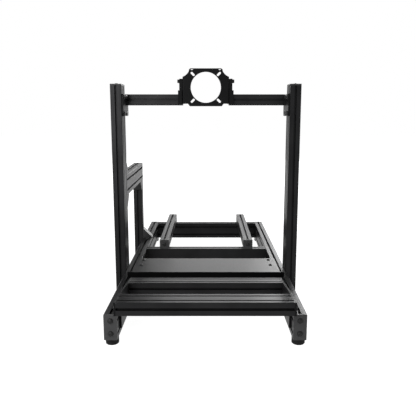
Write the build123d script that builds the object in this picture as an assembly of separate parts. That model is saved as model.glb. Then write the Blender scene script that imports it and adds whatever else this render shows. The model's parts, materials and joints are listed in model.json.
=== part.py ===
"""Sim racing cockpit: an open frame of slotted aluminium profile for a wheel motor, pedals and a seat.

Millimetres, +Z up. X runs across the frame and Y from the pedal end (front) to the seat end (rear).
The frame is laid out from the front face of the base rails' end plates (Y = 0) and from the floor (Z = 0).
At the end it is moved so that the origin is the middle of its footprint.
"""

from build123d import *
import math
import os

# Slotted profile: square modules, one slot on each open side of a module
module = 40.0
slot_mouth = 8.2
slot_lip = 4.5
slot_cavity = 16.4
slot_shoulder = 2.6
slot_floor = 9.0
slot_depth = 12.3
core_bore = 6.8
web = 2.2
skin = 3.0
corner_bevel = 1.5
cut_overrun = 1.0

# Base
base_width = 600.0
rail_length = 1335.0
end_plate = 5.0
bolt_hole = 9.0
foot_height = 20.0
foot_diameter = 40.0
foot_bevel = 2.5
foot_inset = 22.0

# Crossbars and seat rails
seat_bar_y = 780.0
seat_rail_inset = 78.0
seat_rail_past = 7.0
plastic_cap = 3.0

# Uprights and the two halves of the wheel beam
upright_y = 485.0
upright_length = 760.0
beam_drop = 29.0
beam_plate = 6.0
beam_plate_height = 79.0
beam_plate_corner = 12.0
beam_bolt_rise = 29.5

# Wheel motor mount
motor_bore = 111.0
motor_slot_wall = 3.4
motor_slot_length = 18.0
motor_slot_width = 8.0
mount_width = 171.0
mount_sheet = 5.0
mount_bend = 4.0
mount_depth = 60.0
mount_drop = 43.5
mount_edge = 12.5
mount_neck_edge = 6.5
mount_neck_side = 9.5
mount_top_radius = 8.0
mount_shoulder_drop = 30.0
mount_shoulder_sag = 4.0
mount_foot_width = 118.0
mount_foot_rise = 9.0
mount_foot_run = 7.0
tie_slot_length = 7.5
tie_slot_width = 3.0
tie_slot_spread = 102.0
tie_slot_drop = 4.5
pivot_drop = 14.5
tilt_radius = 50.0
tilt_back = 10.0
tilt_forward = 20.0
tilt_clearance = 0.4
bracket_sheet = 12.0
bracket_head = 8.5
bracket_corner = 9.0
beam_flange = 4.6
beam_flange_rise = 14.0
beam_flange_lip = 4.0
beam_flange_bevel = 2.0

# Pedal deck: each bar is placed by the middle of its section and tilts down towards the rear
deck_side = 6.0
deck_front_y = -9.5
deck_front_rise = 34.1
deck_front_tilt = 1.4
deck_rear_y = 232.8
deck_rear_rise = 8.8
deck_rear_tilt = 5.5
deck_side_bottom = 39.0
deck_side_front = 46.0

# Heel plate
heel_sheet = 3.0
heel_front = 349.0
heel_depth = 247.0
heel_overlap = 16.0
heel_lip_height = 22.0
heel_lip_extra = 5.0
heel_lip_bevel = 2.0
heel_bolt_inset = 10.0
heel_bolt_hole = 6.6
heel_bolt_rear = 22.0
heel_bolt_pitch = 72.0
heel_angle_leg = 30.0
heel_angle_margin = 20.0

# Shifter mount, on the side of negative X
arm_bottom = 372.5
arm_length = 480.0
gusset_leg = 43.0
gusset_tip = 4.0
gusset_width = 40.0

# Values that follow from the ones above
half = module / 2
double = 2 * module
inner_x = base_width / 2 - module
outer_x = base_width / 2
side_x = outer_x + half
rail_bottom = foot_height
rail_top = rail_bottom + double
rail_x = outer_x - half
rail_rear = end_plate + rail_length
upright_front = upright_y - module
upright_rear = upright_y + module
upright_top = rail_bottom + upright_length
beam_top = upright_top - beam_drop
beam_y = upright_rear + half
beam_z = beam_top - half
beam_outer = outer_x - beam_plate
bracket_x = mount_width / 2 + tilt_clearance
flange_x = bracket_x + bracket_sheet
beam_inner = flange_x + beam_flange
post_y = upright_rear + arm_length - half
seat_rail_x = inner_x - seat_rail_inset
seat_rail_start = seat_bar_y - half + end_plate
seat_rail_length = rail_rear + seat_rail_past - seat_rail_start
deck_front = (deck_front_y, rail_top + deck_front_rise, deck_front_tilt)
deck_rear = (deck_rear_y, rail_top + deck_rear_rise, deck_rear_tilt)
heel_bolt_x = inner_x - heel_bolt_inset
heel_last_bolt = heel_front + heel_depth - heel_bolt_rear
heel_bolt_ys = (heel_last_bolt - heel_bolt_pitch, heel_last_bolt)
heel_drill = 4 * heel_sheet

# The motor plate is laid out round its slots, whose middles lie on motor_slot_circle
motor_slot_circle = motor_bore + 2 * motor_slot_wall + motor_slot_length
slot_end = (motor_slot_circle + motor_slot_length - motor_slot_width) / 2
slot_reach = slot_end * math.cos(math.radians(45)) + motor_slot_width / 2
mount_bottom = beam_top - mount_drop
motor_centre = mount_bottom + mount_edge + slot_reach
mount_top = motor_centre + slot_reach + mount_edge
mount_shoulder = mount_top - mount_shoulder_drop
mount_neck = 2 * (slot_reach + mount_neck_edge)
mount_front = beam_y - mount_depth / 2
flange_bottom = mount_bottom + mount_foot_rise
tilt_pivot = mount_shoulder - pivot_drop


def slot_profile():
    """One slot, its mouth on the X axis and its floor below it, reaching a little past the face."""
    edge = [
        (slot_mouth / 2, cut_overrun),
        (slot_mouth / 2, -slot_lip),
        (slot_cavity / 2, -slot_lip),
        (slot_cavity / 2, -slot_lip - slot_shoulder),
        (slot_floor / 2, -slot_depth),
    ]
    mirrored = [(-x, y) for x, y in reversed(edge)]
    return make_face(Polyline(*edge, *mirrored, close=True))


def closed_slot_profile():
    """The cavity behind a face that has no slot: its skin is as thick as a slot's lips."""
    depth = slot_depth - slot_lip
    cavity = Rectangle(slot_cavity, depth, align=(Align.CENTER, Align.MAX))
    return Pos(0, -slot_lip) * chamfer(cavity.vertices().group_by(Axis.Y)[0], slot_shoulder)


def profile_section(columns, rows, closed_face=False):
    """Cross-section of a profile that is columns by rows modules; the face at -X may have no slots."""
    width = columns * module
    height = rows * module
    section = Rectangle(width, height)
    section = chamfer(section.vertices(), corner_bevel)
    slot = slot_profile()
    first_face = closed_slot_profile() if closed_face else slot
    xs = [(i - (columns - 1) / 2) * module for i in range(columns)]
    ys = [(i - (rows - 1) / 2) * module for i in range(rows)]
    for x in xs:
        section -= Pos(x, height / 2) * slot
        section -= Pos(x, -height / 2) * Rot(0, 0, 180) * slot
    for y in ys:
        section -= Pos(width / 2, y) * Rot(0, 0, -90) * slot
        section -= Pos(-width / 2, y) * Rot(0, 0, 90) * first_face
    for x in xs:
        for y in ys:
            section -= Pos(x, y) * Circle(core_bore / 2)
    hollow = module - slot_cavity - 2 * web
    for y in ys[:-1]:
        section -= Pos(0, y + half) * Rectangle(module - 2 * skin, hollow)
    for x in xs[:-1]:
        section -= Pos(x + half, 0) * Rectangle(hollow, module - 2 * skin)
    return section


def bar(start, direction, across, length, columns, rows, closed_face=False):
    """A length of profile from start along direction, its columns laid along across."""
    plane = Plane(origin=start, x_dir=across, z_dir=direction)
    return extrude(plane * profile_section(columns, rows, closed_face), length)


def end_cap(centre, outward, across, columns, rows, thickness, hole):
    """A plate over a profile's end, with one hole over each core bore."""
    plane = Plane(origin=centre, x_dir=across, z_dir=outward)
    face = Rectangle(columns * module, rows * module)
    face = chamfer(face.vertices(), corner_bevel)
    if hole:
        face -= GridLocations(module, module, columns, rows) * Circle(hole / 2)
    return extrude(plane * face, thickness)


def side_sheet(face, x_from, x_to):
    """A sheet whose outline is drawn with Y across and Z up, between two X positions."""
    plane = Plane(origin=(x_from, 0, 0), x_dir=(0, 1, 0), z_dir=(1, 0, 0))
    return extrude(plane * face, x_to - x_from)


def front_sheet(face, y_from, thickness):
    """A sheet whose outline is drawn with X across and Z up, from y_from towards the rear."""
    plane = Plane(origin=(0, y_from + thickness, 0), x_dir=(1, 0, 0), z_dir=(0, -1, 0))
    return extrude(plane * face, thickness)


def gusset(plane):
    """A covered corner gusset: its two legs lie along the plane's X and Y, from the inner corner."""
    outline = Polyline(
        (0, 0),
        (gusset_leg, 0),
        (gusset_leg, gusset_tip),
        (gusset_tip, gusset_leg),
        (0, gusset_leg),
        close=True,
    )
    return extrude(plane * make_face(outline), gusset_width / 2, both=True)


def foot(x, y):
    """A round levelling foot that stands on the floor under a base rail."""
    radius = foot_diameter / 2
    pad = Pos(x, y, foot_height / 2) * Cylinder(radius, foot_height)
    return chamfer(pad.edges().sort_by(Axis.Z)[0], foot_bevel)


def beam_plate_part():
    """The plate on an upright's inner face that carries the beam behind the upright."""
    width = double + module
    centre_y = upright_front + width / 2
    centre_z = beam_top - beam_plate_height / 2
    face = Pos(centre_y, centre_z) * RectangleRounded(width, beam_plate_height, beam_plate_corner)
    for y in (upright_y - half, upright_y + half):
        for z in (centre_z - beam_bolt_rise, centre_z + beam_bolt_rise):
            face -= Pos(y, z) * Circle(bolt_hole / 2)
    face -= Pos(beam_y, beam_z) * Circle(bolt_hole / 2)
    return side_sheet(face, beam_outer, outer_x)


def wheel_bracket_part():
    """The bracket at a beam's end: a pivot hole above and a curved slot for the clamp bolt."""
    bottom = beam_top - module
    top = tilt_pivot + bracket_head
    centre = Pos(beam_y + beam_flange_lip / 2, (bottom + top) / 2)
    face = centre * RectangleRounded(mount_depth - beam_flange_lip, top - bottom, bracket_corner)
    face -= Pos(beam_y, tilt_pivot) * Circle(bolt_hole / 2)
    straight_down = 270
    sweep = tilt_back + tilt_forward
    arc = CenterArc((beam_y, tilt_pivot), tilt_radius, straight_down - tilt_back, sweep)
    face -= SlotArc(arc, bolt_hole)
    return side_sheet(face, bracket_x, flange_x)


def beam_flange_part():
    """The angle at a beam's end: it backs the bracket and its lip covers the bracket's front edge."""
    lip_rear = mount_front + beam_flange_lip
    lip_inner = bracket_x + tilt_clearance
    outline = Polyline(
        (lip_inner + beam_flange_bevel, mount_front),
        (beam_inner, mount_front),
        (beam_inner, mount_front + mount_depth),
        (flange_x, mount_front + mount_depth),
        (flange_x, lip_rear),
        (lip_inner, lip_rear),
        (lip_inner, mount_front + beam_flange_bevel),
        close=True,
    )
    return extrude(Pos(0, 0, beam_top - module) * make_face(outline), module + beam_flange_rise)


def wheel_plate_part():
    """The motor plate: a front with the motor's bore and slots, bent back into two side flanges."""
    neck_end = mount_top - mount_neck_side
    middle_x = (mount_neck + mount_width) / 4
    middle_z = (neck_end + mount_shoulder) / 2 - mount_shoulder_sag
    half_outline = [
        Line((0, mount_top), (mount_neck / 2, mount_top)),
        Line((mount_neck / 2, mount_top), (mount_neck / 2, neck_end)),
        ThreePointArc(
            (mount_neck / 2, neck_end), (middle_x, middle_z), (mount_width / 2, mount_shoulder)
        ),
        Polyline(
            (mount_width / 2, mount_shoulder),
            (mount_width / 2, flange_bottom),
            (mount_foot_width / 2 + mount_foot_run, flange_bottom),
            (mount_foot_width / 2, mount_bottom),
            (0, mount_bottom),
        ),
        Line((0, mount_bottom), (0, mount_top)),
    ]
    half_face = make_face(Curve() + half_outline)
    face = half_face + mirror(half_face, about=Plane.YZ)
    top_points = face.vertices().group_by(Axis.Y)[-1]
    top_corners = [point for point in top_points if abs(point.X) > mount_top_radius]
    face = fillet(top_corners, mount_top_radius)
    for side in (-1, 1):
        tie = Pos(side * tie_slot_spread / 2, mount_top - tie_slot_drop)
        face -= tie * SlotOverall(tie_slot_length, tie_slot_width)
    face -= Pos(0, motor_centre) * Circle(motor_bore / 2)
    slot = SlotOverall(motor_slot_length, motor_slot_width)
    for turn in (45, 135, 225, 315):
        face -= Pos(0, motor_centre) * Rot(0, 0, turn) * Pos(motor_slot_circle / 2, 0) * slot
    plate = front_sheet(face, mount_front, mount_sheet)
    middle = (flange_bottom + mount_shoulder) / 2
    side_face = Pos(beam_y, middle) * Rectangle(mount_depth, mount_shoulder - flange_bottom)
    rear_corners = side_face.vertices().group_by(Axis.X)[-1]
    side_face = fillet(rear_corners, bracket_corner)
    side_face -= Pos(beam_y, tilt_pivot) * Circle(bolt_hole / 2)
    side_face -= Pos(beam_y, tilt_pivot - tilt_radius) * Circle(bolt_hole / 2)
    flange = side_sheet(side_face, mount_width / 2 - mount_sheet, mount_width / 2)
    plate += flange
    plate += mirror(flange, about=Plane.YZ)
    bends = plate.edges().filter_by(Axis.Z).group_by(Axis.Y)[0]
    outer = [edge for edge in bends if abs(edge.center().X) > mount_width / 2 - mount_bend]
    return fillet(outer, mount_bend)


def deck_point(section, along, up):
    """A point (Y, Z) of a deck bar's section (Y, Z and tilt), along its top and square to it."""
    y, z, tilt = section
    angle = math.radians(tilt)
    return (
        y + along * math.cos(angle) + up * math.sin(angle),
        z - along * math.sin(angle) + up * math.cos(angle),
    )


def deck_side_part():
    """The side plate that hangs the deck bars on the inner face of a base rail."""
    rear_top = deck_point(deck_rear, module, half)
    outline = Polyline(
        deck_point(deck_front, -module, half),
        deck_point(deck_front, module, half),
        deck_point(deck_rear, -module, half),
        rear_top,
        (rear_top[0], deck_side_bottom),
        (deck_side_front, deck_side_bottom),
        (deck_side_front, rail_top),
        deck_point(deck_front, -module, -half),
        close=True,
    )
    face = make_face(outline)
    for section in (deck_front, deck_rear):
        for along in (-half, half):
            face -= Pos(*deck_point(section, along, 0)) * Circle(bolt_hole / 2)
    for y in (deck_side_front + module, rear_top[0] - module):
        face -= Pos(y, rail_top - half) * Circle(bolt_hole / 2)
    return side_sheet(face, inner_x - deck_side, inner_x)


def deck_bar(section):
    """A bar of the pedal deck, flat side up, between the side plates."""
    y, z, tilt = section
    angle = math.radians(tilt)
    length = 2 * (inner_x - deck_side)
    return bar((-length / 2, y, z), (1, 0, 0), (0, math.cos(angle), -math.sin(angle)), length, 2, 1)


def heel_plate_part():
    """The heel sheet: it lies on both rails as far as their slots and its front edge is bent up."""
    width = 2 * (inner_x + heel_overlap)
    sheet = Box(width, heel_depth, heel_sheet, align=(Align.CENTER, Align.MIN, Align.MIN))
    sheet = Pos(0, heel_front, rail_top) * sheet
    lip_face = Rectangle(width + 2 * heel_lip_extra, heel_lip_height)
    lip_face = chamfer(lip_face.vertices().group_by(Axis.Y)[0], heel_lip_extra)
    lip_face = chamfer(lip_face.vertices().group_by(Axis.Y)[-1], heel_lip_bevel)
    lip = front_sheet(Pos(0, rail_top + heel_lip_height / 2) * lip_face, heel_front, heel_sheet)
    plate = sheet + lip
    for x in (-heel_bolt_x, heel_bolt_x):
        for y in heel_bolt_ys:
            plate -= Pos(x, y, rail_top) * Cylinder(heel_bolt_hole / 2, heel_drill)
    return plate


def heel_angle_part():
    """The angle on a rail's inner face that the heel plate is bolted to."""
    face = Rectangle(heel_angle_leg, heel_angle_leg, align=(Align.MAX, Align.MAX))
    inner = heel_angle_leg - heel_sheet
    face -= Pos(-heel_sheet, -heel_sheet) * Rectangle(inner, inner, align=(Align.MAX, Align.MAX))
    first, last = heel_bolt_ys
    length = last - first + 2 * heel_angle_margin
    plane = Plane(
        origin=(inner_x, last + heel_angle_margin, rail_top), x_dir=(1, 0, 0), z_dir=(0, -1, 0)
    )
    angle = extrude(plane * face, length)
    for y in heel_bolt_ys:
        angle -= Pos(heel_bolt_x, y, rail_top) * Cylinder(heel_bolt_hole / 2, heel_drill)
    return angle


parts = {}


def add_pair(name, part):
    """Keeps a part of the side of positive X and its mirror image."""
    parts[name + "_right"] = part
    parts[name + "_left"] = mirror(part, about=Plane.YZ)


rail_z = rail_bottom + module
along_y = (0, 1, 0)
along_x = (1, 0, 0)
along_z = (0, 0, 1)

add_pair("rail", bar((rail_x, end_plate, rail_z), along_y, along_x, rail_length, 1, 2))
front_plate = end_cap((rail_x, end_plate, rail_z), (0, -1, 0), along_x, 1, 2, end_plate, bolt_hole)
add_pair("rail_front_plate", front_plate)
rear_plate = end_cap((rail_x, rail_rear, rail_z), along_y, along_x, 1, 2, end_plate, bolt_hole)
add_pair("rail_rear_plate", rear_plate)
add_pair("foot_front", foot(rail_x, end_plate + foot_inset))
add_pair("foot_rear", foot(rail_x, rail_rear - foot_inset))

cross_length = 2 * inner_x
seat_bar_start = (-inner_x, seat_bar_y, rail_z)
parts["seat_crossbar"] = bar(seat_bar_start, along_x, along_y, cross_length, 1, 2, closed_face=True)
rear_bar_start = (-inner_x, rail_rear - half, rail_z)
parts["rear_crossbar"] = bar(rear_bar_start, along_x, along_y, cross_length, 1, 2)

seat_rail_z = rail_top + half
seat_start = (seat_rail_x, seat_rail_start, seat_rail_z)
add_pair("seat_rail", bar(seat_start, along_y, along_x, seat_rail_length, 1, 1))
add_pair("seat_rail_plate", end_cap(seat_start, (0, -1, 0), along_x, 1, 1, end_plate, bolt_hole))
seat_end = (seat_rail_x, seat_rail_start + seat_rail_length, seat_rail_z)
add_pair("seat_rail_cap", end_cap(seat_end, along_y, along_x, 1, 1, plastic_cap, 0))

upright_start = (side_x, upright_y, rail_bottom)
add_pair("upright", bar(upright_start, along_z, along_x, upright_length, 1, 2))
upright_end = (side_x, upright_y, upright_top)
add_pair("upright_plate", end_cap(upright_end, along_z, along_x, 1, 2, end_plate, bolt_hole))

add_pair("beam_plate", beam_plate_part())
beam_start = (beam_inner, beam_y, beam_z)
add_pair("wheel_beam", bar(beam_start, along_x, along_y, beam_outer - beam_inner, 1, 1))
add_pair("beam_flange", beam_flange_part())
add_pair("wheel_bracket", wheel_bracket_part())
parts["wheel_plate"] = wheel_plate_part()

add_pair("deck_side", deck_side_part())
parts["deck_front_bar"] = deck_bar(deck_front)
parts["deck_rear_bar"] = deck_bar(deck_rear)

parts["heel_plate"] = heel_plate_part()
add_pair("heel_angle", heel_angle_part())

arm_z = arm_bottom + module
arm_start = (-side_x, upright_rear, arm_z)
parts["shifter_arm"] = bar(arm_start, along_y, along_x, arm_length, 1, 2)
arm_end = (-side_x, upright_rear + arm_length, arm_z)
parts["shifter_arm_cap"] = end_cap(arm_end, along_y, along_x, 1, 2, plastic_cap, 0)
post_start = (-side_x, post_y, rail_bottom)
post_length = arm_bottom - rail_bottom
parts["shifter_post"] = bar(post_start, along_z, along_x, post_length, 1, 1)

arm_top = arm_bottom + double
gusset_planes = {
    "gusset_arm_top": Plane((-side_x, upright_rear, arm_top), x_dir=along_y, z_dir=along_x),
    "gusset_arm_bottom": Plane((-side_x, upright_rear, arm_bottom), x_dir=(0, 0, -1), z_dir=along_x),
    "gusset_post_top": Plane((-side_x, post_y - half, arm_bottom), x_dir=(0, -1, 0), z_dir=along_x),
    "gusset_post_foot": Plane((-outer_x, post_y, rail_top), x_dir=along_x, z_dir=(0, -1, 0)),
}
for name, plane in gusset_planes.items():
    parts[name] = gusset(plane)

bounds = Compound(list(parts.values())).bounding_box()
to_origin = Pos(-bounds.center().X, -bounds.center().Y, -bounds.min.Z)

os.makedirs("parts", exist_ok=True)
for name, part in parts.items():
    export_step(to_origin * part, f"parts/{name}.step")
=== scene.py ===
import json
import math

import bpy
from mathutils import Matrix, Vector


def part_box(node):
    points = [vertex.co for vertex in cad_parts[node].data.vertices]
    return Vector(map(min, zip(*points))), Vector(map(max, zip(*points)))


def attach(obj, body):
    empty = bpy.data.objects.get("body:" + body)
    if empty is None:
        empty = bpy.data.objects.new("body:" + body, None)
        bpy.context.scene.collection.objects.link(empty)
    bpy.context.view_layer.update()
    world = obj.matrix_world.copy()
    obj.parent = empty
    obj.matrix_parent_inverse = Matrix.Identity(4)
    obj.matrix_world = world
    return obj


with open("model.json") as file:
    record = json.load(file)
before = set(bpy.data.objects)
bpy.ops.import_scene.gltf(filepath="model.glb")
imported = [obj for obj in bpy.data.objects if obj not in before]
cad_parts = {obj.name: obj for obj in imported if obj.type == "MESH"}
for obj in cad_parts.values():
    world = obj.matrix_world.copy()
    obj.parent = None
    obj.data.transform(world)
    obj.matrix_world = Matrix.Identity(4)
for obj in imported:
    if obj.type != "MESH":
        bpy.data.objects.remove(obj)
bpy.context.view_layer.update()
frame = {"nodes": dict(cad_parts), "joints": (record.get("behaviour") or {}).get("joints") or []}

# Lengths are in metres, angles in radians and powers in watts.
MM = 0.001

# The part of a noise texture's range that nearly all of its values lie in.
NOISE_LOW, NOISE_HIGH = 0.35, 0.65


class Surface:
    """A node material: one Principled shader and the textures that feed it."""

    def __init__(self, name, specular, metallic=0.0, bevel=0.5 * MM):
        self.material = bpy.data.materials.new(name)
        self.material.use_nodes = True
        self.tree = self.material.node_tree
        self.tree.nodes.clear()
        self.shader = self.node("ShaderNodeBsdfPrincipled")
        output = self.node("ShaderNodeOutputMaterial")
        self.link(self.shader.outputs[0], output.inputs[0])
        self.shader.inputs["Metallic"].default_value = metallic
        self.shader.inputs["Specular IOR Level"].default_value = specular
        self.place = self.node("ShaderNodeTexCoord").outputs["Object"]
        round_edges = self.node("ShaderNodeBevel", samples=4)
        round_edges.inputs["Radius"].default_value = bevel
        self.normal = round_edges.outputs[0]

    def node(self, kind, **values):
        made = self.tree.nodes.new(kind)
        for key, value in values.items():
            setattr(made, key, value)
        return made

    def link(self, source, target):
        self.tree.links.new(source, target)

    def noise(self, scale, detail, stretch=(1, 1, 1)):
        mapping = self.node("ShaderNodeMapping")
        mapping.inputs["Scale"].default_value = stretch
        self.link(self.place, mapping.inputs["Vector"])
        noise = self.node("ShaderNodeTexNoise")
        noise.inputs["Scale"].default_value = scale
        noise.inputs["Detail"].default_value = detail
        self.link(mapping.outputs[0], noise.inputs["Vector"])
        return noise.outputs["Fac"]

    def colour(self, source, low, high):
        ramp = self.node("ShaderNodeValToRGB")
        start, end = ramp.color_ramp.elements
        start.position, end.position = NOISE_LOW, NOISE_HIGH
        start.color, end.color = (*low, 1), (*high, 1)
        self.link(source, ramp.inputs[0])
        self.link(ramp.outputs[0], self.shader.inputs["Base Color"])

    def roughness(self, source, low, high):
        spread = self.node("ShaderNodeMapRange")
        spread.inputs["From Min"].default_value = NOISE_LOW
        spread.inputs["From Max"].default_value = NOISE_HIGH
        spread.inputs["To Min"].default_value = low
        spread.inputs["To Max"].default_value = high
        self.link(source, spread.inputs["Value"])
        self.link(spread.outputs[0], self.shader.inputs["Roughness"])

    def bump(self, source, strength, depth):
        bump = self.node("ShaderNodeBump")
        bump.inputs["Strength"].default_value = strength
        bump.inputs["Distance"].default_value = depth
        self.link(source, bump.inputs["Height"])
        self.link(self.normal, bump.inputs["Normal"])
        self.normal = bump.outputs[0]

    def finish(self):
        self.link(self.normal, self.shader.inputs["Normal"])
        return self.material


def anodised(name, along):
    """Black anodised extrusion: fine die lines along the bar and a faint cloudiness."""
    surface = Surface(name, specular=0.05, metallic=0.5)
    surface.shader.inputs["Specular Tint"].default_value = (0.5, 0.5, 0.5, 1)
    fine, drawn_out = 700.0, 3.0
    stretch = [drawn_out if axis == along else fine for axis in "XYZ"]
    lines = surface.noise(1.0, 3.0, stretch)
    surface.colour(surface.noise(9.0, 4.0), (0.0160, 0.0160, 0.0165), (0.0220, 0.0220, 0.0227))
    surface.roughness(lines, 0.28, 0.36)
    surface.bump(lines, 0.18, 0.12 * MM)
    surface.bump(surface.noise(2600.0, 1.0), 0.08, 0.06 * MM)
    return surface.finish()


def anodised_plate(name):
    """Bead-blasted and anodised plate: an even fine grain."""
    surface = Surface(name, specular=0.1)
    grain = surface.noise(1800.0, 2.0)
    surface.colour(surface.noise(14.0, 4.0), (0.055, 0.055, 0.056), (0.075, 0.075, 0.076))
    surface.roughness(grain, 0.40, 0.52)
    surface.bump(grain, 0.22, 0.10 * MM)
    return surface.finish()


def powder_coat(name, low, high):
    """Powder coat: a low orange peel over a fine grain."""
    surface = Surface(name, specular=0.04, bevel=0.7 * MM)
    peel = surface.noise(420.0, 2.0)
    grain = surface.noise(2600.0, 1.0)
    surface.colour(surface.noise(11.0, 3.0), low, high)
    surface.roughness(peel, 0.32, 0.40)
    surface.bump(peel, 0.20, 0.14 * MM)
    surface.bump(grain, 0.14, 0.06 * MM)
    return surface.finish()


def cast_metal(name):
    """Coated die casting: soft cloudiness and a grain coarser than the plates'."""
    surface = Surface(name, specular=0.3, bevel=1.2 * MM)
    grain = surface.noise(900.0, 3.0)
    surface.colour(surface.noise(30.0, 4.0), (0.010, 0.010, 0.0105), (0.016, 0.016, 0.0165))
    surface.roughness(grain, 0.44, 0.58)
    surface.bump(grain, 0.25, 0.14 * MM)
    return surface.finish()


def rubber(name):
    """Moulded rubber: matt, with a faint bloom."""
    surface = Surface(name, specular=0.2, bevel=0.8 * MM)
    bloom = surface.noise(60.0, 5.0)
    surface.colour(bloom, (0.003, 0.003, 0.003), (0.007, 0.007, 0.007))
    surface.roughness(bloom, 0.70, 0.88)
    surface.bump(surface.noise(1500.0, 2.0), 0.2, 0.1 * MM)
    return surface.finish()


def moulded_plastic(name):
    """Moulded plastic cap with a spark-eroded grain."""
    surface = Surface(name, specular=0.3, bevel=0.8 * MM)
    grain = surface.noise(1300.0, 2.0)
    surface.colour(surface.noise(40.0, 3.0), (0.006, 0.006, 0.006), (0.010, 0.010, 0.010))
    surface.roughness(grain, 0.5, 0.62)
    surface.bump(grain, 0.3, 0.1 * MM)
    return surface.finish()


def black_oxide(name):
    """Black oxide screws: a dark coat with a slight oily mottling."""
    surface = Surface(name, specular=0.12, bevel=0.3 * MM)
    mottling = surface.noise(220.0, 4.0)
    surface.colour(mottling, (0.020, 0.020, 0.021), (0.030, 0.030, 0.029))
    surface.roughness(mottling, 0.25, 0.33)
    surface.bump(surface.noise(1900.0, 2.0), 0.12, 0.06 * MM)
    return surface.finish()


bar_material = {axis: anodised("anodised_along_" + axis, axis) for axis in "XYZ"}
plate_material = anodised_plate("anodised_plate")
coat_material = powder_coat("powder_coat", (0.0070, 0.0070, 0.0073), (0.0100, 0.0100, 0.0104))
# Painted shade: the heel parts get a darker copy of the same powder coat, darkened to match the
# shade on the heel sheet's lip.
shaded_sheet_material = powder_coat("powder_coat_painted_shade",
                             (0.0014, 0.0014, 0.0015), (0.0024, 0.0024, 0.0025))
cast_material = cast_metal("coated_casting")
rubber_material = rubber("foot_rubber")
cap_material = moulded_plastic("cap_plastic")
screw_material = black_oxide("black_oxide")

# How the names of the nodes of each material start. The first row that fits a node counts.
DRESS = (
    (("rail_front_plate", "rail_rear_plate", "seat_rail_plate", "upright_plate"), plate_material),
    (("seat_rail_cap", "shifter_arm_cap"), cap_material),
    (("foot",), rubber_material),
    (("gusset",), cast_material),
    (("beam_plate", "beam_flange", "wheel_bracket", "wheel_plate", "deck_side"), coat_material),
    # The heel parts take the darker copy of the powder coat, which carries painted shade.
    (("heel",), shaded_sheet_material),
    (("rail", "seat_rail", "shifter_arm"), bar_material["Y"]),
    (("upright", "shifter_post"), bar_material["Z"]),
    (("wheel_beam", "deck", "seat_crossbar", "rear_crossbar"), bar_material["X"]),
)

for name, node in frame["nodes"].items():
    found = next(material for starts, material in DRESS if name.startswith(starts))
    node.data.materials.clear()
    node.data.materials.append(found)


class Piece:
    """Mesh data gathered from several small forms, made into one object."""

    def __init__(self):
        self.points = []
        self.faces = []

    def rings(self, rings, centre, axis, closed=True):
        """Joins rings of points, which stand round the axis, and closes both ends."""
        turn = Vector(axis).normalized().to_track_quat("Z", "Y").to_matrix()
        base = len(self.points)
        count = len(rings[0])
        for ring in rings:
            self.points += [Vector(centre) + turn @ Vector(point) for point in ring]
        for level in range(len(rings) - 1):
            low, high = base + level * count, base + (level + 1) * count
            for i in range(count):
                j = (i + 1) % count
                self.faces.append((low + i, low + j, high + j, high + i))
        if closed:
            top = base + (len(rings) - 1) * count
            self.faces.append(tuple(base + i for i in reversed(range(count))))
            self.faces.append(tuple(top + i for i in range(count)))

    def build(self, name, body):
        mesh = bpy.data.meshes.new(name)
        mesh.from_pydata([tuple(point) for point in self.points], [], self.faces)
        mesh.update()
        mesh.shade_smooth()
        mesh.set_sharp_from_angle(angle=math.radians(35))
        mesh.materials.append(screw_material)
        piece = bpy.data.objects.new(name, mesh)
        bpy.context.scene.collection.objects.link(piece)
        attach(piece, body)


RING_TURNS = [2 * math.pi * i / 36 for i in range(36)]


def circle(radius, height):
    return [(radius * math.cos(t), radius * math.sin(t), height) for t in RING_TURNS]


def hexagon(across_flats, height):
    """A ring on a hexagon's edge, with as many points as a circle."""
    ring = []
    for t in RING_TURNS:
        from_flat = (t + math.pi / 6) % (math.pi / 3) - math.pi / 6
        radius = across_flats / 2 / math.cos(from_flat)
        ring.append((radius * math.cos(t), radius * math.sin(t), height))
    return ring


def socket_rings(across_flats, top, floor):
    """A hexagon socket in a head, from its top down to its floor, with a small chamfer."""
    return [circle(0.62 * across_flats, top), hexagon(across_flats, top - 0.3 * MM),
            hexagon(across_flats, floor)]


def button_head(piece, centre, axis, radius=8.8 * MM, height=5 * MM, socket=3.2 * MM):
    """A button-head screw: a dome on a short straight rim, with a socket."""
    rim = 0.16 * height
    angles = (0, 0.2, 0.4, 0.6, 0.8, 1.0, 1.15)
    dome = [circle(radius * math.cos(t),
                   rim + (height - rim) * math.sin(t) / math.sin(angles[-1])) for t in angles]
    piece.rings([circle(radius, 0), *dome, *socket_rings(socket, height, 0.8 * height)],
                centre, axis)


def cap_head(piece, centre, axis, radius=6.5 * MM, height=6.4 * MM, socket=6 * MM):
    """A cylinder-head screw with a chamfered edge and a socket."""
    chamfer = 0.6 * MM
    body = [circle(radius, 0), circle(radius, height - chamfer), circle(radius - chamfer, height)]
    piece.rings([*body, *socket_rings(socket, height, 0.4 * height)], centre, axis)


WASHER_HEIGHT = 1.6 * MM


def washer(piece, centre, axis, radius=8 * MM, hole=4.2 * MM):
    edge = 0.2 * MM
    rings = [circle(hole, 0), circle(radius - edge, 0), circle(radius, edge),
             circle(radius, WASHER_HEIGHT - edge), circle(radius - edge, WASHER_HEIGHT),
             circle(hole, WASHER_HEIGHT), circle(hole, 0)]
    piece.rings(rings, centre, axis, closed=False)


def nut(piece, centre, axis, across_flats=13 * MM, height=6.5 * MM, thread=3.6 * MM):
    """A hexagon nut with a chamfered top and a thread's end showing in it."""
    rings = [hexagon(across_flats, 0), hexagon(across_flats, 0.85 * height),
             circle(0.46 * across_flats, height), circle(thread + 0.5 * MM, height),
             circle(thread + 0.1 * MM, 0.9 * height), circle(thread, 0.9 * height),
             circle(thread, 1.05 * height), circle(0.8 * thread, 1.12 * height)]
    piece.rings(rings, centre, axis)


def middle(node):
    low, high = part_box(node)
    return (low + high) / 2


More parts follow.
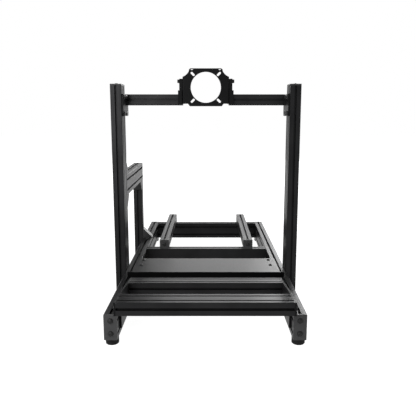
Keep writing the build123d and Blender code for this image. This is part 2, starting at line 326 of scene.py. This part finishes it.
# Where the screws sit, as in the solids.
HALF_MODULE = 20 * MM  # from a middle to each of two bolts, and from a rail's top to its slot
BEAM_PLATE_RISE = 29.5 * MM  # from the beam plate's middle up and down to its screws
PIVOT = Vector(frame["joints"][0]["pos_m"])
CLAMP_DROP = 50 * MM  # from the tilt's pivot down to its clamp screw
MOTOR_PLATE_THICK = 5 * MM
HEEL_SHEET_THICK = 3 * MM
HEEL_SCREW_X = 250 * MM
HEEL_SCREWS_FROM_REAR = (94 * MM, 22 * MM)
DECK_BARS = (("deck_front_bar", math.radians(1.4)), ("deck_rear_bar", math.radians(5.5)))
DECK_SCREW_FROM_RAIL_END = 81 * MM
DECK_SCREW_FROM_REAR = 40 * MM
POST_SCREW_INWARD = 2 * MM  # from the left rail's middle
POST_SCREW_FORWARD = 33 * MM  # from the post's middle

UPRIGHT_HEAD = {"radius": 6.5 * MM, "height": 2.6 * MM}
DECK_HEAD = {"radius": 6.7 * MM, "height": 4.2 * MM}
HEEL_HEAD = {"radius": 6.8 * MM, "height": 3.6 * MM, "socket": 4 * MM}


def inner_and_outer(node, sign):
    """The x of a node's face towards the cockpit's middle, and of the one away from it."""
    low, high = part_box(node)
    return (low.x, high.x) if sign > 0 else (high.x, low.x)


def rail_end_screws(side):
    screws = Piece()
    for plate, axis in (("rail_front_plate_", -1), ("rail_rear_plate_", 1)):
        low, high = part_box(plate + side)
        centre = middle(plate + side)
        face = low.y if axis < 0 else high.y
        for rise in (-HALF_MODULE, HALF_MODULE):
            button_head(screws, (centre.x, face, centre.z + rise), (0, axis, 0))
    screws.build("rail_end_screws_" + side, "frame")


def seat_rail_screw(side):
    screws = Piece()
    plate = "seat_rail_plate_" + side
    centre, front = middle(plate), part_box(plate)[0].y
    button_head(screws, (centre.x, front, centre.z), (0, -1, 0))
    screws.build("seat_rail_screw_" + side, "frame")


def upright_top_screws(side):
    screws = Piece()
    plate = "upright_plate_" + side
    centre, top = middle(plate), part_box(plate)[1].z
    for shift in (-HALF_MODULE, HALF_MODULE):
        button_head(screws, (centre.x, centre.y + shift, top), (0, 0, 1), **UPRIGHT_HEAD)
    screws.build("upright_top_screws_" + side, "frame")


def beam_plate_screws(side, sign):
    screws = Piece()
    plate = middle("beam_plate_" + side)
    beam, upright = middle("wheel_beam_" + side), middle("upright_" + side)
    inner, outer = inner_and_outer("beam_plate_" + side, sign)
    for y in (upright.y - HALF_MODULE, upright.y + HALF_MODULE):
        for rise in (-BEAM_PLATE_RISE, BEAM_PLATE_RISE):
            button_head(screws, (inner, y, plate.z + rise), (-sign, 0, 0))
    button_head(screws, (outer, beam.y, beam.z), (sign, 0, 0))
    screws.build("beam_plate_screws_" + side, "frame")


def tilt_screw(side, sign):
    screws = Piece()
    outer = inner_and_outer("wheel_bracket_" + side, sign)[1]
    washer(screws, (outer, PIVOT.y, PIVOT.z), (sign, 0, 0))
    cap_head(screws, (outer + sign * WASHER_HEIGHT, PIVOT.y, PIVOT.z), (sign, 0, 0))
    screws.build("tilt_screw_" + side, "frame")


def tilt_nuts(side, sign):
    nuts = Piece()
    inside = sign * (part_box("wheel_plate")[1].x - MOTOR_PLATE_THICK)
    for drop in (0, CLAMP_DROP):
        nut(nuts, (inside, PIVOT.y, PIVOT.z - drop), (-sign, 0, 0))
    nuts.build("tilt_nuts_" + side, "wheel_mount")


def deck_screws(side, sign):
    screws = Piece()
    inner, outer = inner_and_outer("deck_side_" + side, sign)
    for bar, tilt in DECK_BARS:
        centre = middle(bar)
        for shift in (-HALF_MODULE, HALF_MODULE):
            place = (outer, centre.y + shift * math.cos(tilt), centre.z - shift * math.sin(tilt))
            button_head(screws, place, (sign, 0, 0), **DECK_HEAD)
    rail_low, rail_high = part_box("rail_" + side)
    deck_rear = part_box("deck_side_" + side)[1].y
    for y in (rail_low.y + DECK_SCREW_FROM_RAIL_END, deck_rear - DECK_SCREW_FROM_REAR):
        button_head(screws, (inner, y, rail_high.z - HALF_MODULE), (-sign, 0, 0))
    screws.build("deck_screws_" + side, "frame")


def heel_screws(side, sign):
    screws = Piece()
    rail_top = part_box("rail_" + side)[1].z
    sheet_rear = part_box("heel_plate")[1].y
    for inset in HEEL_SCREWS_FROM_REAR:
        place = (sign * HEEL_SCREW_X, sheet_rear - inset, rail_top + HEEL_SHEET_THICK)
        button_head(screws, place, (0, 0, 1), **HEEL_HEAD)
    angle = "heel_angle_" + side
    upright_leg = inner_and_outer(angle, sign)[1] - sign * HEEL_SHEET_THICK
    for shift in (-HALF_MODULE, HALF_MODULE):
        place = (upright_leg, middle(angle).y + shift, rail_top - HALF_MODULE)
        button_head(screws, place, (-sign, 0, 0))
    screws.build("heel_screws_" + side, "frame")


def post_screw():
    screws = Piece()
    place = (middle("rail_left").x + POST_SCREW_INWARD,
             middle("shifter_post").y - POST_SCREW_FORWARD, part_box("rail_left")[1].z)
    button_head(screws, place, (0, 0, 1))
    screws.build("post_screw", "frame")


# Left and right are as the photograph shows them.
for side, sign in (("right", 1.0), ("left", -1.0)):
    rail_end_screws(side)
    seat_rail_screw(side)
    upright_top_screws(side)
    beam_plate_screws(side, sign)
    tilt_screw(side, sign)
    tilt_nuts(side, sign)
    deck_screws(side, sign)
    heel_screws(side, sign)
post_screw()


def by_ray(tree, output_kind, hidden, seen):
    """Shows one shader to camera, glossy and transmission rays and another to the rest."""
    path = tree.nodes.new("ShaderNodeLightPath")
    factor = path.outputs["Is Camera Ray"]
    for ray in ("Is Glossy Ray", "Is Transmission Ray"):
        either = tree.nodes.new("ShaderNodeMath")
        either.operation = "MAXIMUM"
        tree.links.new(factor, either.inputs[0])
        tree.links.new(path.outputs[ray], either.inputs[1])
        factor = either.outputs[0]
    mix = tree.nodes.new("ShaderNodeMixShader")
    tree.links.new(factor, mix.inputs[0])
    tree.links.new(hidden.outputs[0], mix.inputs[1])
    tree.links.new(seen.outputs[0], mix.inputs[2])
    tree.links.new(mix.outputs[0], tree.nodes.new(output_kind).inputs[0])


# The floor is white to the eye, and what it throws back at the object is set apart from that.
FLOOR_GLOW = 0.95
FLOOR_SHADOWED = 0.45  # the diffuse part of its white, which shadows darken
FLOOR_BOUNCE = 0.72
FLOOR_REACH = 14

floor_material = bpy.data.materials.new("floor_white")
floor_material.use_nodes = True
tree = floor_material.node_tree
tree.nodes.clear()
glow = tree.nodes.new("ShaderNodeEmission")
glow.inputs["Strength"].default_value = FLOOR_GLOW
shadowed = tree.nodes.new("ShaderNodeBsdfDiffuse")
shadowed.inputs["Color"].default_value = (FLOOR_SHADOWED,) * 3 + (1,)
shown = tree.nodes.new("ShaderNodeAddShader")
tree.links.new(glow.outputs[0], shown.inputs[0])
tree.links.new(shadowed.outputs[0], shown.inputs[1])
bounce = tree.nodes.new("ShaderNodeBsdfDiffuse")
bounce.inputs["Color"].default_value = (FLOOR_BOUNCE,) * 3 + (1,)
by_ray(tree, "ShaderNodeOutputMaterial", hidden=bounce, seen=shown)

floor_mesh = bpy.data.meshes.new("floor")
floor_mesh.from_pydata([(x * FLOOR_REACH, y * FLOOR_REACH, 0)
                        for x, y in ((-1, -1), (1, -1), (1, 1), (-1, 1))], [], [(0, 1, 2, 3)])
floor_mesh.materials.append(floor_material)
floor = bpy.data.objects.new("floor", floor_mesh)
bpy.context.scene.collection.objects.link(floor)

WORLD_WHITE, WORLD_AMBIENT = 1.0, 0.15

world = bpy.data.worlds.new("world")
bpy.context.scene.world = world
world.use_nodes = True
tree = world.node_tree
tree.nodes.clear()
white = tree.nodes.new("ShaderNodeBackground")
white.inputs["Color"].default_value = (1, 1, 1, 1)
white.inputs["Strength"].default_value = WORLD_WHITE
ambient = tree.nodes.new("ShaderNodeBackground")
ambient.inputs["Color"].default_value = (1, 1, 1, 1)
ambient.inputs["Strength"].default_value = WORLD_AMBIENT
by_ray(tree, "ShaderNodeOutputWorld", hidden=ambient, seen=white)


def softbox(name, place, target, width, height, watts):
    light = bpy.data.lights.new(name, "AREA")
    light.shape = "RECTANGLE"
    light.size, light.size_y = width, height
    light.energy = watts
    lamp = bpy.data.objects.new(name, light)
    bpy.context.scene.collection.objects.link(lamp)
    lamp.visible_camera = False
    lamp.location = place
    lamp.rotation_euler = (Vector(target) - Vector(place)).to_track_quat("-Z", "Y").to_euler()


softbox("sheen", (2.1, 5.0, 2.0), (0, 0, 0.2), 2.6, 1.1, 120)
softbox("sheen_wide", (1.3, 5.4, 2.1), (0, 0, 0.2), 4.2, 1.1, 100)
softbox("key", (2.6, 1.2, 3.0), (0, 0.1, 0.3), 2.0, 2.0, 30)
softbox("fill", (-1.2, -3.3, 1.0), (0, 0, 0.4), 1.2, 1.2, 40)
softbox("fill_high", (-2.6, -2.2, 2.6), (0, -0.2, 0.3), 1.0, 1.0, 50)
softbox("side_right", (3.6, 0.8, 1.4), (0, 0, 0.4), 1.4, 1.4, 50)
softbox("side_left", (-3.6, 0.8, 1.4), (0, 0, 0.4), 1.4, 1.4, 25)

# The photograph's camera, fitted to the end plates, the uprights and the rails' far ends.
camera = bpy.data.objects.new("camera", bpy.data.cameras.new("camera"))
bpy.context.scene.collection.objects.link(camera)
camera.location = (0.0081, -2.108, 0.682)
camera.rotation_euler = (math.radians(79.75), 0, 0)
camera.data.sensor_width = 36
camera.data.lens = 45.34
bpy.context.scene.camera = camera
bpy.context.scene.view_settings.view_transform = "Standard"
